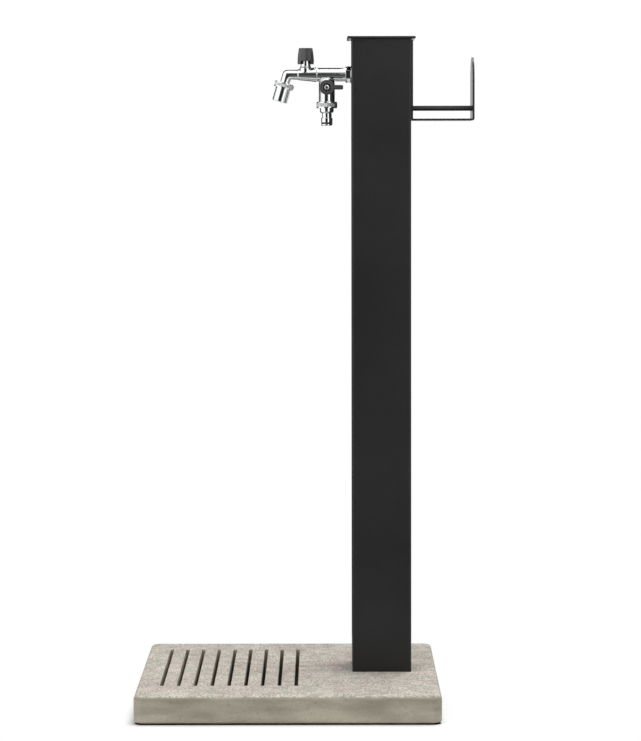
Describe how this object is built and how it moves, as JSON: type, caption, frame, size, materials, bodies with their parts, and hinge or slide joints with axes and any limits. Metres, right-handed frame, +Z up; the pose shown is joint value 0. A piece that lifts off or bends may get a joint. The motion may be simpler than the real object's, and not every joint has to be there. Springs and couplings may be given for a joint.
{
  "type": "garden standpipe",
  "caption": "Free-standing garden standpipe: square dark post on a slotted concrete slab, with a chrome two-way tap, turning knob, lever valve, hose plug and hose hanger.",
  "frame": {"origin": "centre of the slab's underside, on the ground", "axes": "+Z up the post, +X towards the hose hanger, -X towards the tap and spout, -Y towards the front, where the lever is"},
  "size_m": [0.507, 0.45, 1.0075],
  "materials": {
    "concrete": "fine cast concrete",
    "powder_coat": "anthracite powder coat, fine texture",
    "chrome": "polished chrome plate",
    "dark_plastic": "satin moulded plastic",
    "rubber": "matt rubber",
    "brass": "machined brass",
    "steel": "zinc-plated steel",
    "white_plastic": "moulded white plastic"
  },
  "bodies": {
    "stand": {"ball_seats": "white_plastic", "base_slab": "concrete", "bonnet": "chrome", "bonnet_seal": "rubber", "cap_plug": "rubber", "foot_bolts": "steel", "foot_plate": "steel", "foot_washers": "steel", "hanger_bracket": "powder_coat", "hanger_rivet_nuts": "steel", "hanger_screws": "steel", "hose_nut": "chrome", "hose_plug": "chrome", "hose_saddle": "powder_coat", "hose_seal": "rubber", "inlet_fitting": "brass", "inlet_nut": "brass", "jet_insert": "white_plastic", "plug_oring": "rubber", "post_screws": "steel", "post_tube": "powder_coat", "riser_nuts": "brass", "riser_olives": "brass", "riser_pipe": "steel", "rosette": "chrome", "seat_ring": "brass", "shank_nut": "brass", "shank_seal": "rubber", "spindle_oring": "rubber", "spout_nut": "chrome", "spout_oring": "rubber", "spout_seal": "rubber", "spout_sleeve": "chrome", "spout_tube": "chrome", "stem_gland": "brass", "stem_seal": "rubber", "tap_body": "chrome", "top_cap": "powder_coat", "wall_elbow": "brass"},
    "knob": {"knob": "dark_plastic", "knob_screw": "steel", "knob_cover": "dark_plastic", "spindle": "brass"},
    "plunger": {"plunger": "brass", "plunger_washer": "rubber"},
    "lever": {"lever": "dark_plastic", "lever_screw": "chrome", "ball_stem": "brass", "valve_ball": "chrome"}
  },
  "joints": [
    {"name": "knob_turn", "type": "hinge", "parent": "stand", "child": "knob", "pos_m": [0.0265, 0.015, 0.951], "axis": [0, 0, 1], "range_deg": [0, 540]},
    {"name": "plunger_lift", "type": "slide", "parent": "stand", "child": "plunger", "axis": [0, 0, 1], "range_m": [0, 0.003]},
    {"name": "lever_turn", "type": "hinge", "parent": "stand", "child": "lever", "pos_m": [0.0586, 0.015, 0.9313], "axis": [0, 1, 0], "range_deg": [0, 90]}
  ],
  "couplings": [
    {"joint": "plunger_lift", "follows": "knob_turn", "m_per_rad": 0.0003183}
  ]
}
